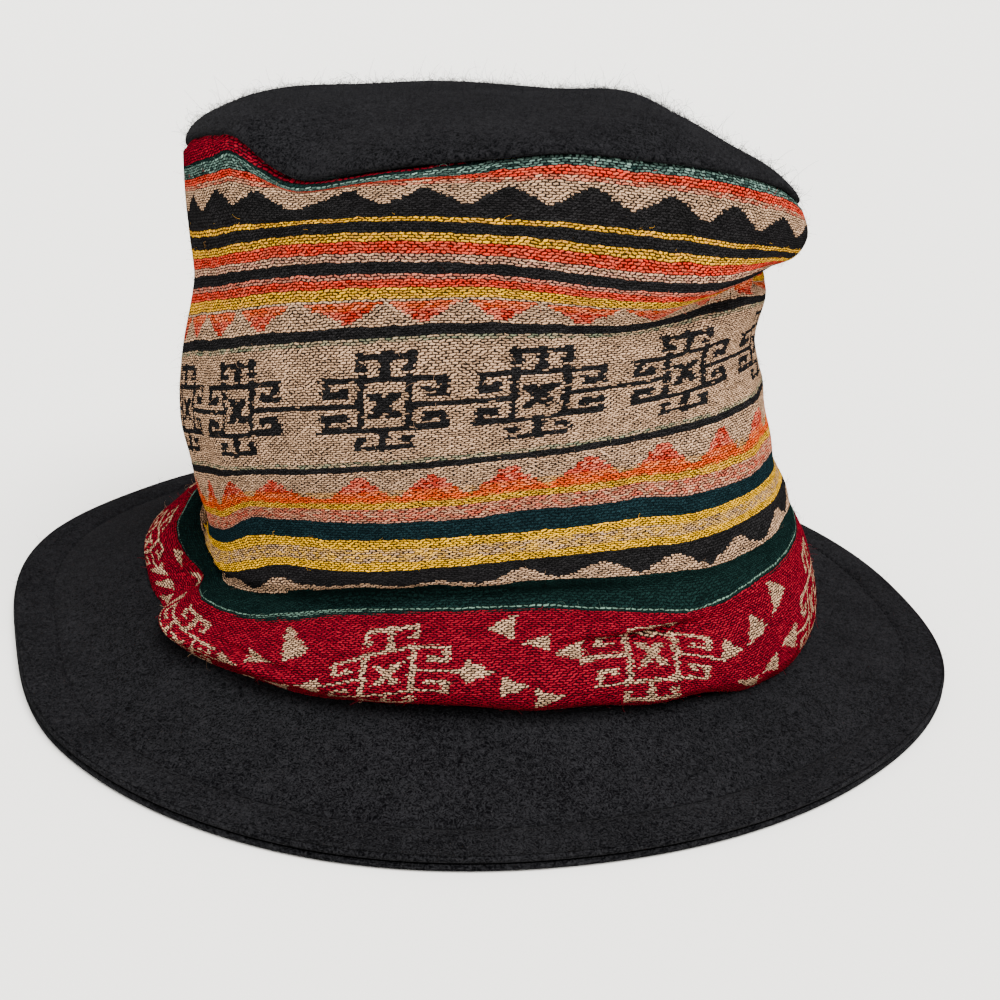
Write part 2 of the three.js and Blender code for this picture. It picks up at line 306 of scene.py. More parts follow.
def dome_row(angle, share):
    """Outer face of the dome, from its middle at share 0 to the top seam at share 1."""
    rim = wall_row(angle, 1)
    low = rim[:, 2] + SEAM_GAP
    power = around(dome_shape, "power", angle)
    shoulder = around(dome_shape, "shoulder", angle)
    full = np.maximum(0, 1 - share ** power) ** (1 / shoulder)
    summit = SEAM_RISE + WALL_HEIGHT + DOME_RISE
    return np.stack([rim[:, 0] * share, rim[:, 1] * share, low + (summit - low) * full], -1)


def brim_row(angle, share):
    """Upper face of the brim: share 0 under the crown wall, 1 at the hem's start, 2 at the edge."""
    seam = wall_row(angle, 0)
    reach = np.hypot(seam[:, 0], seam[:, 1])
    stretch = around(brim_outline, "reach", angle)
    edge = np.stack([
        (HEAD_HALF_WIDTH + BRIM_WIDTH) * stretch * np.sin(angle),
        -(HEAD_HALF_DEPTH + BRIM_WIDTH) * stretch * np.cos(angle),
    ], -1)
    start = seam[:, :2] * (1 - WALL_THICKNESS / reach)[:, None]
    hem = edge * (1 - HEM_WIDTH / np.hypot(edge[:, 0], edge[:, 1]))[:, None]
    flat = start + (hem - start) * share if share <= 1 else hem + (edge - hem) * (share - 1)
    hem_top = 2 * BRIM_PLY + SEAM_GAP
    height = hem_top + (seam[:, 2] - SEAM_GAP - hem_top) * max(0, 1 - share)
    return np.concatenate([flat, height[:, None]], 1)


def normals(grid):
    """Outward normals of rows of points that close round."""
    along = np.roll(grid, -1, 1) - np.roll(grid, 1, 1)
    up = np.gradient(grid, axis=0)
    normal = np.cross(along, up)
    return normal / np.maximum(np.linalg.norm(normal, axis=2, keepdims=True), 1e-12)


def unit(v):
    return v / np.maximum(np.linalg.norm(v, axis=-1, keepdims=True), 1e-12)


def rim(first, second, onward, steps=4):
    """Rows that round off the cloth's edge between the ends of its two faces."""
    middle = (first + second) / 2
    half = first - middle
    size = np.linalg.norm(half, axis=-1, keepdims=True)
    turns = [math.pi * (i + 1) / (steps + 1) for i in range(steps)]
    return np.stack([middle + half * math.cos(t) + onward * size * math.sin(t) for t in turns])


def mesh_piece(name, points, faces, maps=None, smooth=True):
    """A Blender object from points and equal-sided faces, with coordinates for every face corner."""
    mesh = bpy.data.meshes.new(name)
    faces = np.asarray(faces, np.int32)
    count, sides = faces.shape
    mesh.vertices.add(len(points))
    mesh.vertices.foreach_set("co", np.asarray(points + MIDDLE, np.float32).ravel())
    mesh.loops.add(count * sides)
    mesh.loops.foreach_set("vertex_index", faces.ravel())
    mesh.polygons.add(count)
    mesh.polygons.foreach_set("loop_start", np.arange(count, dtype=np.int32) * sides)
    mesh.polygons.foreach_set("loop_total", np.full(count, sides, np.int32))
    mesh.update(calc_edges=True)
    mesh.validate()
    for label, values in (maps or {}).items():
        layer = mesh.uv_layers.new(name=label)
        layer.data.foreach_set("uv", np.asarray(values, np.float32).ravel())
    mesh.polygons.foreach_set("use_smooth", np.full(count, smooth))
    piece = bpy.data.objects.new(name, mesh)
    bpy.context.scene.collection.objects.link(piece)
    return piece


def loop_faces(rows, cols, closed):
    """Quads over rows of points that close round, and from the last row to the first if closed."""
    j, i = np.meshgrid(np.arange(rows if closed else rows - 1), np.arange(cols), indexing="ij")
    j2, i2 = (j + 1) % rows, (i + 1) % cols
    return np.stack([j * cols + i, j * cols + i2, j2 * cols + i2, j2 * cols + i], -1).reshape(-1, 4)


def even_angles(count):
    return -math.pi + 2 * math.pi * np.arange(count) / count


def edge_roll(distance, radius):
    """How far an edge has rolled in at a distance before its end."""
    left = np.clip(radius - distance, 0, radius)
    return radius - np.sqrt(np.maximum(radius ** 2 - left ** 2, 0))


# Crown wall
WALL_COLS = 400
wall_angles = even_angles(WALL_COLS)
wall_shares = np.concatenate([np.linspace(0, 0.3, 96), np.linspace(0.3, 1, 94)[1:]])
WALL_ROWS = len(wall_shares)
wall = np.stack([wall_row(wall_angles, s) for s in wall_shares])
tuck_shares = [name for name in TUCKS[0] if name != "angle"]
tuck_columns = np.stack([around(tucks, name, wall_angles) for name in tuck_shares], 1)
edge_columns = np.stack([around(edges, name, wall_angles) for name in EDGES[0][1:]], 1)
top_columns = np.stack([around(top_extra, name, wall_angles) for name in ("more", "edge")], 1)


def cloth_up(edge_shares, tuck, more):
    """Millimetres up the cloth at every share of its height, at one angle."""
    low = cloth_table["share"] < LOW_CLOTH
    squeeze = edge_shares[0] / LOW_CLOTH
    at = [*cloth_table["share"][low] * squeeze, *edge_shares, *cloth_table["share"][~low]]
    up = np.interp(wall_shares, at, [*cloth_table["up"][low], *EDGE_MM, *cloth_table["up"][~low]])
    tucked = np.interp(wall_shares / squeeze, tuck_shares, tuck)
    near_top = np.clip((wall_shares - EXTRA_FROM) / EXTRA_OVER, 0, 1)
    up += tucked * (wall_shares / squeeze < LOW_CLOTH) + more[0] * near_top
    return up + more[1] * (wall_shares > EXTRA_EDGE)


up_mm = np.stack([cloth_up(*at_angle) for at_angle in zip(edge_columns, tuck_columns, top_columns)], 1)
climb = np.linalg.norm(np.diff(wall, axis=0, prepend=wall[:1]), axis=2).cumsum(0) / MM
red_end = np.array([np.interp(edge_columns[i, 0], wall_shares, climb[:, i]) for i in range(WALL_COLS)])
row_mm = np.where(wall_shares[:, None] < edge_columns[:, 0], RED_TOP + climb - red_end, up_mm)
steps = np.linalg.norm(np.roll(wall, -1, 1) - wall, axis=2) / MM
yarn_mm = np.concatenate([np.zeros((WALL_ROWS, 1)), np.cumsum(steps, 1)], 1)
girth = yarn_mm[:, -1:].copy()
yarn_mm -= yarn_mm[:, WALL_COLS // 2:WALL_COLS // 2 + 1]
figure_mm = FIGURE_PITCH * curve(round_table["place"], round_table["figure"], yarn_mm * CLOTH_ROUND / girth)
behind = np.clip((np.abs(yarn_mm) - BEHIND_FROM) / BEHIND_OVER, 0, 1)
red_girth = girth[np.searchsorted(wall_shares, RED_SHARE)]
red_mm = curve(red_table["place"], red_table["red"], yarn_mm * (1 + behind * (red_girth / girth - 1)))
in_red = np.concatenate([up_mm, up_mm[:, :1]], 1) < RED_TOP + RED_OVER
figure_mm = np.where(in_red, red_mm, figure_mm)
wall_normals = normals(wall)
waves = ripples(11, wall_angles[None, :], wall_shares[:, None], 20, 24, 60)
wall += wall_normals * (WALL_RIPPLE * MM * waves)[..., None]
roll = edge_roll(up_mm, LOW_ROLL) + edge_roll(up_mm[-1:] - up_mm, TOP_ROLL)
wall -= wall_normals * (roll * MM)[..., None]
wall_normals = normals(wall)
inner_rows = np.linspace(WALL_ROWS - 1, 0, 24).round().astype(int)
inner = wall[inner_rows] - wall_normals[inner_rows] * WALL_THICKNESS
top_rim = rim(wall[-1], inner[0], unit(wall[-1] - wall[-3]))
low_rim = rim(inner[-1], wall[0], unit(wall[0] - wall[2]))
wall_loop = np.concatenate([wall, top_rim, inner, low_rim])


def wall_maps(outer_values):
    """One value for every point of the wall's loop, from those of its outer face."""
    top = np.repeat(outer_values[-1:], len(top_rim), 0)
    low = np.repeat(outer_values[:1], len(low_rim), 0)
    return np.concatenate([outer_values, top, outer_values[inner_rows], low])


def corner_uvs(across, up):
    """Map coordinates of the four corners of each quad of the closed loop."""
    up = np.concatenate([up, up[:, :1]], 1)
    pair = np.stack([across, up], -1)
    nxt = np.roll(pair, -1, 0)
    return np.stack([pair[:, :-1], pair[:, 1:], nxt[:, 1:], nxt[:, :-1]], 2).reshape(-1, 2)


wall_uvs = {
    "yarn": corner_uvs(wall_maps(yarn_mm), wall_maps(row_mm)),
    "figure": corner_uvs(wall_maps(figure_mm), wall_maps(up_mm))}
wall_faces = loop_faces(len(wall_loop), WALL_COLS, True)
wall_piece = mesh_piece("crown_side_cloth", wall_loop.reshape(-1, 3), wall_faces, wall_uvs)

# Crown top
DOME_COLS = 300
dome_angles = even_angles(DOME_COLS)
close_to_rim = 1 - 0.14 * np.linspace(0.95, 0, 26) ** 1.6
dome_shares = np.concatenate([[0.004], np.linspace(0.04, 0.86, 40), close_to_rim])
dome = np.stack([dome_row(dome_angles, s) for s in dome_shares])
dome_normals = -normals(dome)
waves = ripples(23, dome_angles[None, :], dome_shares[:, None], 12, 6, 9)
waves = waves * np.minimum(1, dome_shares[:, None] * 2) * DOME_RIPPLE
dome = dome + dome_normals * (waves * MM)[..., None]
for at, reach, rise in DOME_SWELLS[1:]:
    swell = rise * np.exp(-((dome[..., 0] - at) / reach) ** 2)
    dome[..., 2] += swell * np.clip((1 - dome_shares) / 0.2, 0, 1)[:, None]
dome_mm = np.cumsum(np.linalg.norm(np.diff(dome, axis=0, prepend=dome[:1]), axis=2), 0) / MM
outwards = unit(dome[-1] * [1, 1, 0])
dome -= outwards[None] * (edge_roll(dome_mm[-1:] - dome_mm, DOME_ROLL) * MM)[..., None]
dome_normals = -normals(dome)
dome_back = np.linspace(len(dome) - 1, 0, 16).round().astype(int)
dome_inner = dome[dome_back] - dome_normals[dome_back] * DOME_THICKNESS
dome_rim = rim(dome[-1], dome_inner[0], unit(dome[-1] - dome[-3]))
dome_loop = np.concatenate([dome, dome_rim, dome_inner])
dome_faces = loop_faces(len(dome_loop), DOME_COLS, False)[:, ::-1]
dome_piece = mesh_piece("crown_top_felt", dome_loop.reshape(-1, 3), dome_faces)

# Brim plies
BRIM_COLS = 420
brim_angles = even_angles(BRIM_COLS)
brim_shares = np.concatenate([
    np.linspace(0, 0.9, 26), np.linspace(0.92, 1.12, 17), np.linspace(1.16, 2, 20)])
brim = np.stack([brim_row(brim_angles, s) for s in brim_shares])
hem_groove = HEM_GROOVE * np.exp(-((brim_shares - 1) / 0.06) ** 2)
hem_puff = HEM_PUFF * np.exp(-((brim_shares - 1.45) / 0.3) ** 2)
sway = ripples(31, brim_angles[None, :], brim_shares[:, None], 12, 9, 4) * BRIM_SWAY
fade = np.clip((2 - brim_shares) / 0.5, 0, 1) * np.clip(brim_shares / 0.2, 0, 1)
brim_top = brim.copy()
brim_top[..., 2] += (sway * fade[:, None] + hem_groove[:, None] + hem_puff[:, None]) * MM


def ply(name, top, depth):
    """One ply of the brim, a depth below the upper face, with rounded edges."""
    upper = top.copy()
    upper[..., 2] -= depth
    radial = unit(upper[-1] * [1, 1, 0])
    back = np.linspace(len(upper) - 1, 0, 18).round().astype(int)
    lower = upper[back].copy()
    lower[..., 2] -= BRIM_PLY
    upper[-1] -= radial * BRIM_PLY * PLY_ROLL
    lower[0] -= radial * BRIM_PLY * PLY_ROLL
    edge = rim(upper[-1], lower[0], radial, 5)
    hole = rim(lower[-1], upper[0], -unit(upper[0] * [1, 1, 0]), 2)
    loop = np.concatenate([upper, edge, lower, hole])
    faces = loop_faces(len(loop), BRIM_COLS, True)[:, ::-1]
    return mesh_piece(name, loop.reshape(-1, 3), faces), upper


brim_upper_piece, brim_face = ply("brim_upper_felt", brim_top, 0)
brim_under_piece, _ = ply("brim_under_felt", brim, BRIM_PLY + SEAM_GAP)


def tube_faces(count, parts, sides):
    """Quads of many tubes, each of some parts with some sides."""
    base = (np.arange(count) * (parts + 1) * sides)[:, None, None]
    near = base + np.arange(parts)[None, :, None] * sides
    beyond = near + sides
    c = np.arange(sides)[None, None, :]
    d = (c + 1) % sides
    return np.stack([near + c, near + d, beyond + d, beyond + c], -1).reshape(-1, 4)


def fibres(kind, roots, upward, maps=None):
    """Loose fibres on a face, each a thin curling tube. roots and upward are rows of points and
    normals that close round; maps gives every point's map coordinates."""
    row = dict(zip(FIBRES[0], next(line for line in FIBRES if line[0] == kind)))
    count, parts, curl = row["count"], row["parts"], row["curl"]
    longest = row["longest"] * MM
    rng = np.random.default_rng(row["seed"])
    here = roots[:-1].reshape(-1, 3)
    right_by = np.roll(roots, -1, 1)[:-1].reshape(-1, 3) - here
    up_by = roots[1:].reshape(-1, 3) - here
    area = np.linalg.norm(np.cross(right_by, up_by), axis=1)
    cell = rng.choice(len(here), count, p=area / area.sum())
    a, b = rng.random((2, count, 1))
    root = here[cell] + right_by[cell] * a + up_by[cell] * b
    normal = upward[:-1].reshape(-1, 3)[cell]
    side = unit(np.cross(normal, rng.normal(size=(count, 3))))
    over = np.cross(normal, side)
    rise = np.radians(rng.uniform(row["lean_from"], row["lean_to"], (count, 1)))
    ahead = normal * np.sin(rise) + side * np.cos(rise)
    turn = rng.uniform(-curl, curl, (count, 1))
    turn = np.where(np.abs(turn) < 0.05, 0.05, turn)
    bend_to = unit(over + normal * rng.uniform(-0.5, 0.4, (count, 1)))
    length = longest * rng.beta(2, 3, (count, 1)) + 0.25 * longest
    points = []
    for i in range(parts + 1):
        s = i / parts
        bow = ahead * np.sin(turn * s) / turn + bend_to * (1 - np.cos(turn * s)) / turn
        points.append(root + length * bow - normal * FIBRE_DEPTH * MM)
    points = np.stack(points, 1)
    along = unit(np.gradient(points, axis=1))
    first = unit(np.cross(along, normal[:, None] + 0.3 * side[:, None]))
    second = np.cross(along, first)
    width = row["thick"] * MM * np.linspace(1, FIBRE_TIP, parts + 1)[None, :, None, None]
    sides = len(FIBRE_TURNS)
    rings_round = [first * math.cos(t) + second * math.sin(t) for t in FIBRE_TURNS]
    skin = points[:, :, None, :] + width * np.stack(rings_round, 2)
    corners = {}
    for label, grid in (maps or {}).items():
        value = grid.reshape(-1, 2)[cell]
        corners[label] = np.repeat(value, parts * sides * 4, 0)
    return mesh_piece(kind, skin.reshape(-1, 3), tube_faces(count, parts, sides), corners)


def joined(name, pieces):
    """One piece out of several."""
    for piece in bpy.context.selected_objects:
        piece.select_set(False)
    for piece in pieces:
        piece.select_set(True)
    bpy.context.view_layer.objects.active = pieces[0]
    bpy.ops.object.join()
    pieces[0].name = name
    return pieces[0]


dome_nap = joined("crown_top_nap", [
    fibres(kind, dome, dome_normals) for kind in ("nap_a", "nap_b", "nap_e")])
brim_up = normals(brim_face)
brim_up = -brim_up if brim_up[10, 0, 2] < 0 else brim_up
brim_nap = joined("brim_nap", [fibres(kind, brim_face, brim_up) for kind in ("nap_c", "nap_d")])
wall_map = {
    "yarn": np.stack([yarn_mm[:-1, :-1], row_mm[:-1]], -1),
    "figure": np.stack([figure_mm[:-1, :-1], up_mm[:-1]], -1)}
wall_nap = joined("crown_side_fuzz", [
    fibres(kind, wall, wall_normals, wall_map) for kind in ("fuzz_a", "fuzz_b")])

# Row of stitches round the brim, at the hem's start
STITCHES = 272
STITCH_SIDES = 6
STITCH_RADIUS = 0.2 * MM
STITCH_SEED = 51
# Shares of a step at which a stitch's thread is set, and its rise there in millimetres
STITCH_MARKS = (0.14, 0.3, 0.5, 0.7, 0.86)
STITCH_RISES = (-0.25, 0.08, 0.16, 0.08, -0.25)
hem_row = int(np.argmin(np.abs(brim_shares - 1)))
line = np.concatenate([brim_face[hem_row], brim_face[hem_row][:1]])
far = np.concatenate([[0], np.cumsum(np.linalg.norm(np.diff(line, axis=0), axis=1))])
step = far[-1] / STITCHES
rng = np.random.default_rng(STITCH_SEED)
starts = (np.arange(STITCHES) + rng.uniform(-0.05, 0.05, STITCHES)) * step
marks = [(starts + step * share) % far[-1] for share in STITCH_MARKS]
lift = np.array(STITCH_RISES) * MM
run = np.stack([np.stack([np.interp(m, far, line[:, i]) for i in range(3)], -1) for m in marks], 1)
run[..., 2] += lift[None, :]
along = unit(np.gradient(run, axis=1))
across = unit(np.cross(along, [0, 0, 1.0]))
above_it = np.cross(across, along)
turns = np.linspace(0, 2 * math.pi, STITCH_SIDES, endpoint=False)[:, None]
round_thread = across[:, :, None] * np.cos(turns) + above_it[:, :, None] * np.sin(turns)
skin = run[:, :, None, :] + STITCH_RADIUS * round_thread
stitch_faces = tube_faces(STITCHES, len(STITCH_MARKS) - 1, STITCH_SIDES)
stitch_piece = mesh_piece("brim_stitches", skin.reshape(-1, 3), stitch_faces)

# Colours of the yarns, as the eye sees them from 0 to 255: face of the yarn, then the painted shade in the
# recessed gaps between its stitches
YARNS = {
    "tan": ((176, 141, 112), (16, 11, 9)),
    "black": ((31, 30, 31), (5, 5, 5)),
    "red": ((116, 11, 27), (22, 3, 7)),
    "brick": ((190, 33, 20), (44, 5, 3)),
    "orange": ((212, 66, 14), (46, 12, 5)),
    "salmon": ((180, 78, 58), (38, 11, 8)),
    "yellow": ((216, 160, 20), (32, 22, 3)),
    "olive": ((176, 122, 50), (28, 19, 7)),
    "dark_teal": ((19, 36, 40), (5, 9, 11)),
    "dark_green": ((15, 32, 30), (4, 8, 8)),
    "teal": ((104, 130, 120), (12, 22, 21)),
    "mint": ((80, 104, 92), (5, 14, 13)),
    "pink": ((160, 110, 92), (20, 12, 10)),
    "sage": ((104, 110, 88), (14, 17, 14)),
}
# The felt's darkest and lightest fibres, the loose hairs and the sewing thread
FELT_DARK, FELT_LIGHT = (4, 4, 5), (28, 28, 30)
HAIR_COLOUR = (34, 34, 37)
THREAD_COLOUR = (16, 16, 18)
# Brightness of the dim patches on hairs and thread, and metres by which the felt's fibres swirl
PATCH_DIM = 0.55
FELT_SWIRL = 0.0022
# Stripes from the brim upwards. top: where each ends, in millimetres up the cloth.
STRIPES = [
    ("top", "yarn", "second", "figure"),
    (26.9, "red", "red", "tan"),
    (27.45, "dark_green", "dark_green", "dark_green"),
    (28.0, "mint", "mint", "mint"),
    (35.5, "dark_green", "dark_green", "dark_green"),
    (42.2, "black", "black", "tan"),
    (44.3, "yellow", "yellow", "yellow"),
    (48.3, "tan", "yellow", "tan"),
    (50.4, "yellow", "yellow", "yellow"),
    (54.2, "dark_teal", "dark_teal", "dark_teal"),
    (55.0, "pink", "pink", "pink"),
    (57.9, "salmon", "tan", "salmon"),
    (59.8, "yellow", "olive", "yellow"),
    (61.2, "orange", "olive", "orange"),
    (62.9, "tan", "olive", "orange"),
    (68.7, "tan", "tan", "brick"),
    (70.7, "black", "black", "black"),
    (71.6, "sage", "tan", "sage"),
    (97.9, "tan", "tan", "black"),
    (99.2, "sage", "tan", "sage"),
    (100.9, "black", "black", "black"),
    (104.4, "tan", "tan", "brick"),
    (106.6, "tan", "tan", "orange"),
    (108.8, "yellow", "olive", "yellow"),
    (111.0, "brick", "salmon", "orange"),
    (111.8, "pink", "salmon", "pink"),
    (114.3, "black", "black", "black"),
    (115.8, "pink", "tan", "pink"),
    (117.6, "brick", "salmon", "orange"),
    (119.5, "yellow", "olive", "yellow"),
    (121.6, "black", "black", "black"),
    (123.2, "yellow", "olive", "yellow"),
    (126.4, "black", "black", "black"),
    (131.2, "tan", "tan", "black"),
    (132.4, "salmon", "tan", "salmon"),
    (134.5, "brick", "salmon", "brick"),
    (135.2, "dark_green", "teal", "dark_green"),
    (136.9, "teal", "dark_green", "teal"),
    (137.4, "dark_green", "dark_green", "dark_green"),
    (160.0, "red", "red", "red"),
]
# Height at which one colour ramp ends and the next begins, because a ramp holds few colours
SPLIT = 68.7
# Rows of peaks: height of their foot and tip, and where one stands, in figures round the cloth
PEAKS = [
    ("foot", "tip", "stand"),
    (60.4, 68.0, 0.335),
    (106.6, 101.4, 0.225),
    (126.2, 131.0, 0.215),
]
# The row above the green stripe, which a crease thins to a wavy line from one place to another,
# in figures round the cloth
LOW_PEAKS = (35.4, 40.6, 0.43)
LOW_PEAKS_END = 42.2
THIN_FROM, THIN_TO = 0.47, 1.85
# Share of a peak that shows before its tip is cut off, and the height below which its colours mix
PEAK_CUT = 0.93
MIXED_BELOW = 110
# Lines of the hooked figure in one of its four equal quarters, in millimetres from its middle:
# middle and half size of each box.
FIGURE = [
    ("x", "y", "half_x", "half_y"),
    (5.3, 2.9, 0.0, 2.9),
    (2.6, 5.65, 2.7, 0.0),
    (0.0, 8.0, 0.2, 2.3),
    (2.8, 10.1, 2.8, 0.0),
    (5.5, 9.0, 0.0, 1.2),
    (5.0, 7.9, 0.5, 0.0),
    (8.9, 5.5, 3.7, 0.0),
    (12.3, 4.0, 0.0, 1.5),
    (10.6, 2.5, 1.7, 0.0),
    (9.0, 2.9, 0.0, 0.4),
    (11.0, 0.0, 5.2, 0.0),
]
# Slope and narrowness of the cross in its middle, and the height at which it ends
CROSS_SLOPE, CROSS_NARROW, CROSS_END = 1.1, 1.6, 2.7
# Half width of the figures' lines, across and up, in the tan band and in the red one
TAN_LINES = (0.92, 0.70)
RED_LINES = (0.66, 0.40)
# Middle and half height of the tan band's figures, the share of their stitches that is missed,
# and the height at which the red band's figures end
TAN_BAND = (84.8, 12.9)
MISSED = 0.05
RED_FIGURES_END = 26.2
# Height of the middle of the red band's two alternate figures, and of the tan band's
RED_MIDDLES = (13.9, 12.9)
TAN_MIDDLE = 85.2
# Flags that step down from the first and up from the second: distance of the upright edge from
# the figure's middle, and height over it. Each points away from its figure.
FLAGS = [
    ("edge", "down", "up"),
    (16.0, 0.0, 2.6),
    (24.0, -3.5, 6.8),
    (32.0, -7.0, 10.8),
]
FLAG_LONG, FLAG_HALF = 6.4, 2.9

# Length of a stitch with its gap, and height of a row of stitches, in millimetres
PITCH = 1.5
ROW = 0.56
# Millimetres by which the yarns wander slowly, and by which each is jolted, across and up
WANDER = (1.1, 0.7)
JOLT = (0.9, 0.45)


def linear(rgb):
    """Linear colour from one as the eye sees it, 0 to 255."""
    parts = [c / 255 for c in rgb]
    return tuple(c / 12.92 if c <= 0.04045 else ((c + 0.055) / 1.055) ** 2.4 for c in parts) + (1.0,)


class Num:
    """A number that shader nodes work out, written with ordinary arithmetic."""

    def __init__(self, socket):
        self.socket = socket
        self.tree = socket.id_data

    def op(self, kind, *others):
        node = self.tree.nodes.new("ShaderNodeMath")
        node.operation = kind
        for slot, value in zip(node.inputs, (self, *others)):
            if isinstance(value, Num):
                self.tree.links.new(value.socket, slot)
            else:
                slot.default_value = value
        return Num(node.outputs[0])

    def __add__(self, other):
        return self.op("ADD", other)

    def __sub__(self, other):
        return self.op("SUBTRACT", other)

    def __rsub__(self, other):
        return (self * -1) + other

    def __mul__(self, other):
        return self.op("MULTIPLY", other)

    def __truediv__(self, other):
        return self.op("DIVIDE", other)

    def floor(self):
        return self.op("FLOOR")

    def fraction(self):
        return self.op("FRACT")

    def size(self):
        return self.op("ABSOLUTE")

    def below(self, other):
        return self.op("LESS_THAN", other)

    def above(self, other):
        return self.op("GREATER_THAN", other)

    def near(self, middle, half):
        return self.op("COMPARE", middle, half)

    def least(self, other):
        return self.op("MINIMUM", other)

    def most(self, other):
        return self.op("MAXIMUM", other)

    def clamp(self):
        return self.least(1).most(0)


def new_material(name, roughness, sheen, sheen_roughness, specular):
    """A cloth material and its tree and shader."""
    material = bpy.data.materials.new(name)
    material.use_nodes = True
    tree = material.node_tree
    shader = tree.nodes["Principled BSDF"]
    shader.inputs["Roughness"].default_value = roughness
    shader.inputs["Sheen Weight"].default_value = sheen
    shader.inputs["Sheen Roughness"].default_value = sheen_roughness
    shader.inputs["Specular IOR Level"].default_value = specular
    return material, tree, shader


def made(tree, kind, inputs, **settings):
    """A node with its inputs linked or set."""
    node = tree.nodes.new(kind)
    for key, value in settings.items():
        setattr(node, key, value)
    for key, value in inputs.items():
        if isinstance(value, Num):
            value = value.socket
        if isinstance(value, bpy.types.NodeSocket):
            tree.links.new(value, node.inputs[key])
        else:
            node.inputs[key].default_value = value
    return node


def noise(tree, where, scale, detail, roughness=0.5):
    """A noise texture's node."""
    inputs = {"Vector": where, "Scale": scale, "Detail": detail, "Roughness": roughness}
    return made(tree, "ShaderNodeTexNoise", inputs)


def grey(tree, value):
    """A grey colour from a number."""
    return made(tree, "ShaderNodeCombineXYZ", {0: value, 1: value, 2: value}).outputs[0]


def blend(tree, share, first, second, kind="MIX"):
    """A colour between two by a share."""
    node = tree.nodes.new("ShaderNodeMix")
    node.data_type = "RGBA"
    node.blend_type = kind
    for slot, value in ((node.inputs[0], share), (node.inputs[6], first), (node.inputs[7], second)):
        if isinstance(value, Num):
            value = value.socket
        if isinstance(value, bpy.types.NodeSocket):
            tree.links.new(value, slot)
        else:
            slot.default_value = value
    return node.outputs[2]


def stripe_ramp(tree, up, column, part, low, high):
    """Stepped colours of the stripes between two heights."""
    node = tree.nodes.new("ShaderNodeValToRGB")
    ramp = node.color_ramp
    ramp.interpolation = "CONSTANT"
    foot = 0.0
    stops = []
    for top, *names in STRIPES[1:]:
        if top > low and foot < high:
            yarn = names[("yarn", "second", "figure").index(column)]
            stops.append((max(foot - low, 0) / (high - low), linear(YARNS[yarn][part])))
        foot = top
    kept = [stops[0]]
    for stop in stops[1:]:
        if stop[1] != kept[-1][1]:
            kept.append(stop)
    while len(ramp.elements) < len(kept):
        ramp.elements.new(0.5)
    for element, (place, colour) in zip(ramp.elements, kept):
        element.position = place
        element.color = colour
    share = (up - low) / (high - low)
    tree.links.new(share.socket, node.inputs[0])
    return node.outputs[0]


def stripes(tree, up, column, part):
    """Colours of a column of the stripe table all the way up the cloth."""
    low = stripe_ramp(tree, up, column, part, 0, SPLIT)
    high = stripe_ramp(tree, up, column, part, SPLIT, STRIPES[-1][0])
    return blend(tree, up.below(SPLIT), high, low)


def hooked_figure(x, y, wide, tall):
    """1 on the lines of the figure, for distances from its middle."""
    total = None
    for bx, by, half_x, half_y in FIGURE[1:]:
        box = x.near(bx, half_x + wide) * y.near(by, half_y + tall)
        total = box if total is None else total.most(box)
    slanting = ((x * CROSS_SLOPE - y).size() / CROSS_NARROW).near(0, wide * CROSS_SLOPE)
    return total.most(slanting * y.below(CROSS_END))


def zigzag(x, stand):
    """0 in the valleys to 1 at the tips of a row of peaks, two to a figure."""
    turn = (x / (FIGURE_PITCH / 2) - stand * 2 + 0.5).fraction() - 0.5
    return turn.size() * -2 + 1


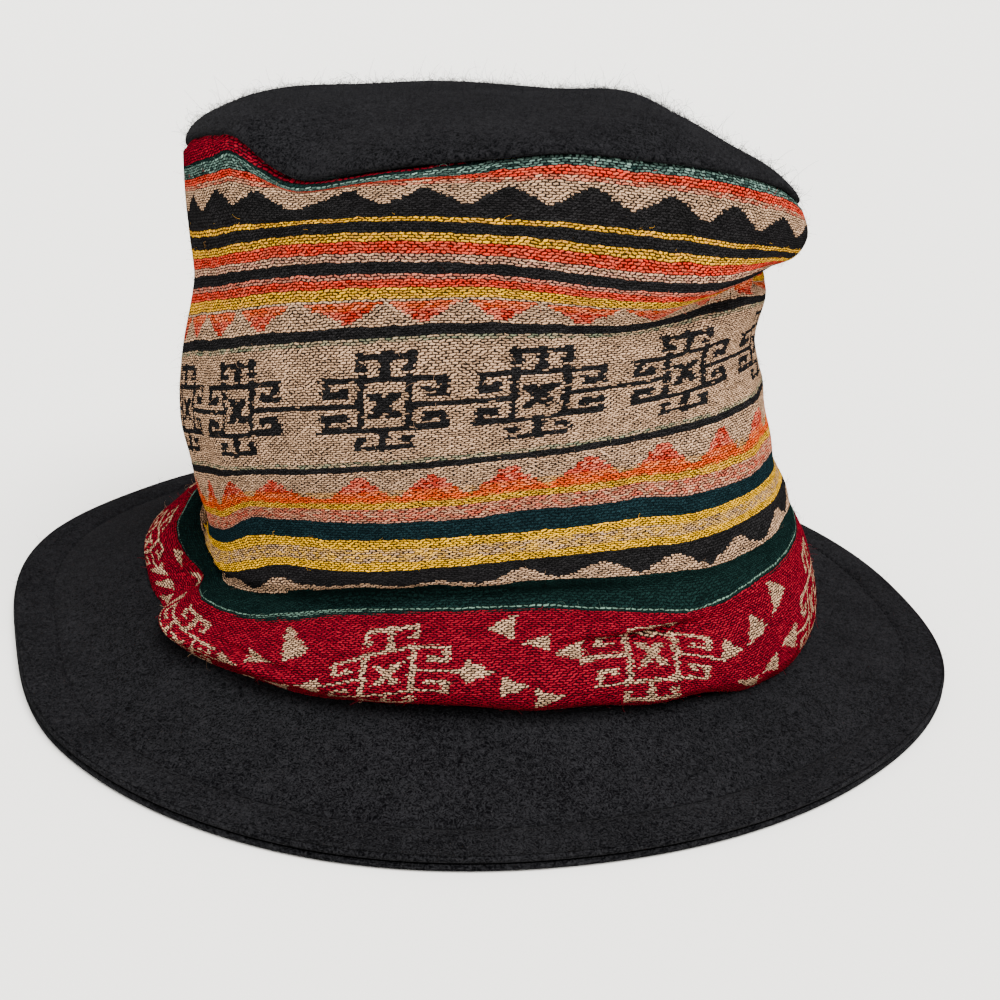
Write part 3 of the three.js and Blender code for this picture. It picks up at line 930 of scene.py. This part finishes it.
def weave_material():
    """Rows of stitches in striped yarns, with the peaks, figures and flags of the pattern."""
    material, tree, shader = new_material(
        "striped_weave", roughness=0.97, sheen=0.0, sheen_roughness=0.5, specular=0.0)
    yarn_uv = made(tree, "ShaderNodeUVMap", {}, uv_map="yarn").outputs[0]
    figure_uv = made(tree, "ShaderNodeUVMap", {}, uv_map="figure").outputs[0]
    split = made(tree, "ShaderNodeSeparateXYZ", {0: yarn_uv})
    across, rows_up = Num(split.outputs[0]), Num(split.outputs[1])
    split = made(tree, "ShaderNodeSeparateXYZ", {0: figure_uv})
    chart, up = Num(split.outputs[0]), Num(split.outputs[1])

    # Wander and jolts of the yarns
    u, v = across, rows_up
    for scale, (most_u, most_v) in ((0.22, WANDER), (0.9, JOLT)):
        shift = made(tree, "ShaderNodeSeparateColor", {0: noise(tree, yarn_uv, scale, 1.0).outputs["Color"]})
        u = u + (Num(shift.outputs[0]) - 0.5) * most_u
        v = v + (Num(shift.outputs[1]) - 0.5) * most_v

    # Bricks of stitches
    row = (v / ROW).floor()
    odd = (row * 0.5).fraction() * 2
    place = u / PITCH + odd * 0.5
    column = place.floor()
    fu = place - column - 0.5
    fv = v / ROW - row - 0.5
    cell = made(tree, "ShaderNodeCombineXYZ", {0: column, 1: row})
    chance = made(tree, "ShaderNodeTexWhiteNoise", {"Vector": cell.outputs[0]}, noise_dimensions="2D")
    luck = made(tree, "ShaderNodeSeparateColor", {0: chance.outputs["Color"]})
    luck_r, luck_g, luck_b = (Num(luck.outputs[i]) for i in range(3))
    bent = fv - fu * (luck_r * 1.1 - 0.5)
    end = (fu - bent * (luck_b * 0.5 - 0.25)).size() / (luck_g * 0.08 + 0.35)
    side = bent.size() / (luck_b * 0.09 + 0.275)
    end4 = (end * end) * (end * end)
    side2 = side * side
    # dash: 1 on a stitch's face, falling to 0 where painted shade fills the recesses between stitches
    dash = ((1.3 - end4) * 1.6).clamp() * ((1.35 - side2 * side2) * 1.3).clamp()
    height = ((1.1 - end4 * 0.8 - side2 * 0.8).most(0)).op("SQRT")

    # Place in the pattern, stepped as the stitches are
    step_u = ((u / (PITCH / 2)).floor() + 0.5) * (PITCH / 2)
    x = chart + (step_u - u) * 0.9 + (luck_r - 0.5) * 1.1
    y = up - rows_up + (row + 0.5) * ROW

    # Peaks
    mask = None
    mixed = None
    for foot, tip, stand in PEAKS[1:]:
        crest = zigzag(x, stand).least(PEAK_CUT)
        share = (y - foot) / (tip - foot)
        low, high = min(foot, tip), max(foot, tip)
        peak = share.below(crest) * y.near((low + high) / 2, (high - low) / 2)
        mask = peak if mask is None else mask.most(peak)
        mixed = mask if foot < MIXED_BELOW else mixed

    # The low row, thinned to a wavy line in front
    foot, tip, stand = LOW_PEAKS
    crest = zigzag(x, stand)
    middle = (THIN_FROM + THIN_TO) / 2 * FIGURE_PITCH
    half = (THIN_TO - THIN_FROM) / 2 * FIGURE_PITCH
    thin = ((half - (x - middle).size()) / 9 + 0.5).clamp()
    rise = thin * (crest * 1.5 + 0.2)
    wide = (crest * (tip - foot - 1.0) + 1.0) * (1 - thin) + thin * 1.5
    low_y = y - foot - rise
    low_zone = y.near((foot + LOW_PEAKS_END) / 2, (LOW_PEAKS_END - foot) / 2)
    mask = mask.most(low_y.above(0) * low_y.below(wide) * low_zone)
    hidden = low_y.below(0) * low_zone

    # Hooked figures of the tan band
    fx = (((x / FIGURE_PITCH + 0.5).fraction() - 0.5) * FIGURE_PITCH).size()
    fy = (y - TAN_MIDDLE).size()
    tan_lines = hooked_figure(fx, fy, *TAN_LINES) * y.near(*TAN_BAND)
    mask = mask.most(tan_lines * luck_b.above(MISSED))

    # Thin figures and stepping flags of the red band
    turn = x / RED_PITCH + 0.5
    second = (turn.floor() * 0.5).fraction() * 2
    away = (turn.fraction() - 0.5) * RED_PITCH
    rx = away.size()
    apart = RED_MIDDLES[1] - RED_MIDDLES[0]
    over = y - (second * apart + RED_MIDDLES[0])
    thin_lines = hooked_figure(rx, over.size(), *RED_LINES)
    here = (second, over, rx)
    beside = (1 - second, over + (second * 2 - 1) * apart, RED_PITCH - rx)
    for kind, height_over, distance in (here, beside):
        for edge, down, up_by in FLAGS[1:]:
            flag_y = kind * (up_by - down) + down
            reach = (distance - edge) / FLAG_LONG
            inside = ((height_over - flag_y).size() / FLAG_HALF + reach).below(1)
            thin_lines = thin_lines.most(inside * reach.above(0))
    mask = mask.most(thin_lines * y.below(RED_FIGURES_END))

    # Yarn colours, and the painted shade in the gaps between stitches
    face = blend(tree, luck_g * 0.85, stripes(tree, y, "yarn", 0), stripes(tree, y, "second", 0))
    face = blend(tree, mask - mixed * luck_b * 0.45, face, stripes(tree, y, "figure", 0))
    gap_shade = blend(tree, mask, stripes(tree, y, "yarn", 1), stripes(tree, y, "figure", 1))
    face = blend(tree, hidden, face, linear(YARNS["dark_green"][0]))
    gap_shade = blend(tree, hidden, gap_shade, linear(YARNS["dark_green"][1]))

    # Fibres and unevenness
    stretch = made(tree, "ShaderNodeVectorMath", {0: yarn_uv, 1: (3.0, 9.0, 1.0)}, operation="MULTIPLY")
    fibre = Num(noise(tree, stretch.outputs[0], 1.0, 3.0).outputs[0])
    cloud = Num(noise(tree, yarn_uv, 0.09, 2.0).outputs[0])
    shade = Num(made(tree, "ShaderNodeRGBToBW", {0: face}).outputs[0])
    felted = shade.below(0.03)
    bright = (luck_b * 0.6 + 0.7) * (fibre * 1.2 + 0.4) * (cloud * 0.5 + 0.75)
    ruffled = ((fibre - 0.5) * 4.4 + (dash - 0.5) * 0.7 + 0.42).clamp()
    face = blend(tree, 1.0, face, grey(tree, bright), "MULTIPLY")
    soft = (dash + (fibre - 0.5) * 0.6).clamp()
    cover = blend(tree, felted, grey(tree, soft), grey(tree, ruffled))
    # cover: share of the yarn's face over the painted shade between stitches
    colour = blend(tree, cover, gap_shade, face)
    tree.links.new(colour, shader.inputs["Base Color"])
    relief = height * 0.28 * (1 - felted * 0.25) + fibre * 0.16
    bump = made(tree, "ShaderNodeBump", {"Height": relief, "Distance": MM, "Strength": 0.9})
    tree.links.new(bump.outputs[0], shader.inputs["Normal"])
    return material


def felt_material(name, dark, light):
    """Fulled wool: fine fibres and small curls over soft clouds of shade."""
    material, tree, shader = new_material(
        name, roughness=0.97, sheen=0.01, sheen_roughness=0.45, specular=0.0)
    where = made(tree, "ShaderNodeTexCoord", {}).outputs["Object"]
    swirl = noise(tree, where, 520.0, 2.0).outputs["Color"]
    curled = {0: swirl, 1: (FELT_SWIRL, FELT_SWIRL, FELT_SWIRL)}
    shift = made(tree, "ShaderNodeVectorMath", curled, operation="MULTIPLY").outputs[0]
    moved = made(tree, "ShaderNodeVectorMath", {0: where, 1: shift}, operation="ADD").outputs[0]
    fine = Num(noise(tree, moved, 2300.0, 3.0, 0.6).outputs[0])
    curls = Num(noise(tree, moved, 600.0, 4.0, 0.7).outputs[0])
    cloud = Num(noise(tree, where, 60.0, 3.0).outputs[0])
    share = ((fine - 0.5) * 4.2 + (curls - 0.5) * 1.5 + (cloud - 0.5) * 0.6 + 0.42).clamp()
    colour = blend(tree, share, linear(dark), linear(light))
    tree.links.new(colour, shader.inputs["Base Color"])
    relief = curls * 0.5 + fine * 0.5
    bump = made(tree, "ShaderNodeBump", {"Height": relief, "Distance": MM * 0.5, "Strength": 0.8})
    tree.links.new(bump.outputs[0], shader.inputs["Normal"])
    return material


def plain_material(name, colour):
    """One dark colour, dimmer in patches."""
    material, tree, shader = new_material(
        name, roughness=0.95, sheen=0.0, sheen_roughness=0.5, specular=0.03)
    place = made(tree, "ShaderNodeTexCoord", {}).outputs["Object"]
    patch = noise(tree, place, 900.0, 1.0).outputs[0]
    dim = tuple(c * PATCH_DIM for c in linear(colour)[:3]) + (1.0,)
    tree.links.new(blend(tree, patch, dim, linear(colour)), shader.inputs["Base Color"])
    return material


weave = weave_material()
felt = felt_material("black_felt", FELT_DARK, FELT_LIGHT)
hair = plain_material("black_wool_fibre", HAIR_COLOUR)
thread = plain_material("black_thread", THREAD_COLOUR)
for piece, material in (
        (wall_piece, weave), (wall_nap, weave), (dome_piece, felt), (brim_upper_piece, felt),
        (brim_under_piece, felt), (dome_nap, hair), (brim_nap, hair), (stitch_piece, thread)):
    piece.data.materials.clear()
    piece.data.materials.append(material)

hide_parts("crown_side")
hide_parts("crown_top")
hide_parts("brim_upper")
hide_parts("brim_under")
for piece in (
        wall_piece, wall_nap, dome_piece, brim_upper_piece, brim_under_piece,
        dome_nap, brim_nap, stitch_piece):
    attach(piece, "root")

# Floor: a level disc that rises all round, far away, in a smooth curve
FLOOR_CORE = 0.02
FLOOR_LEVEL = 1.5
FLOOR_REACH = 8.5
FLOOR_RISE = 2.5
FLOOR_SIDES = 96
FLOOR_STEPS = 30
FLOOR_COLOUR = (243, 242, 238)
FLOOR_DROP = 0.0002
profile = [(FLOOR_CORE, 0.0), (FLOOR_LEVEL, 0.0)]
for share in np.linspace(0, 1, FLOOR_STEPS + 1)[1:]:
    profile.append((FLOOR_LEVEL + (FLOOR_REACH - FLOOR_LEVEL) * share, FLOOR_RISE * share ** 2))
circle = even_angles(FLOOR_SIDES)
spread = np.stack([
    np.stack([r * np.sin(circle), r * np.cos(circle), np.full(FLOOR_SIDES, z)], -1)
    for r, z in profile])
floor_mesh = bpy.data.meshes.new("floor")
floor_faces = [tuple(map(int, f)) for f in loop_faces(len(profile), FLOOR_SIDES, False)[:, ::-1]]
floor_faces.append(tuple(range(FLOOR_SIDES)))
floor_mesh.from_pydata([tuple(map(float, v)) for v in spread.reshape(-1, 3)], [], floor_faces)
floor_mesh.polygons.foreach_set("use_smooth", [True] * len(floor_faces))
floor = bpy.data.objects.new("floor", floor_mesh)
bpy.context.scene.collection.objects.link(floor)
floor_material = bpy.data.materials.new("pale_floor")
floor_material.use_nodes = True
floor_shader = floor_material.node_tree.nodes["Principled BSDF"]
floor_shader.inputs["Base Color"].default_value = linear(FLOOR_COLOUR)
floor_shader.inputs["Roughness"].default_value = 1.0
floor_shader.inputs["Specular IOR Level"].default_value = 0.0
floor_mesh.materials.append(floor_material)
floor.location.z = -FLOOR_DROP

# Light
SKY_COLOUR = (1.0, 0.995, 0.985, 1)
SKY_STRENGTH = 1.35
SUN_COLOUR = (1.0, 0.985, 0.96)
SUN_ENERGY = 8.0
SUN_SPREAD = 45
SUN_TOWARDS = (-0.32, 0.36, -1)
world = bpy.data.worlds.new("soft_room")
world.use_nodes = True
world.node_tree.nodes["Background"].inputs[0].default_value = SKY_COLOUR
world.node_tree.nodes["Background"].inputs[1].default_value = SKY_STRENGTH
bpy.context.scene.world = world
sun = bpy.data.lights.new("key", "SUN")
sun.energy = SUN_ENERGY
sun.angle = math.radians(SUN_SPREAD)
sun.color = SUN_COLOUR
key = bpy.data.objects.new("key", sun)
key.rotation_euler = Vector(SUN_TOWARDS).to_track_quat("-Z", "Y").to_euler()
bpy.context.scene.collection.objects.link(key)

# Camera at the photograph's place, in metres, turned by angles in radians
LOOK_DOWN = 0.359
ROLL = 0.065
LENS_MM = 48.6
FILM_MM = 36
CAMERA_PLACE = (0.0060, -0.3529, 0.1634)
right = np.array([1.0, 0, 0])
above = np.array([0, math.sin(LOOK_DOWN), math.cos(LOOK_DOWN)])
ahead = np.array([0, math.cos(LOOK_DOWN), -math.sin(LOOK_DOWN)])
turned_right = right * math.cos(ROLL) + above * math.sin(ROLL)
turned_up = above * math.cos(ROLL) - right * math.sin(ROLL)
lens = bpy.data.cameras.new("photo_view")
lens.lens = LENS_MM
lens.sensor_width = FILM_MM
lens.clip_start = 0.01
camera = bpy.data.objects.new("photo_view", lens)
basis = Matrix([[turned_right[i], turned_up[i], -ahead[i]] for i in range(3)]).to_4x4()
basis.translation = Vector(CAMERA_PLACE)
camera.matrix_world = basis
bpy.context.scene.collection.objects.link(camera)
bpy.context.scene.camera = camera
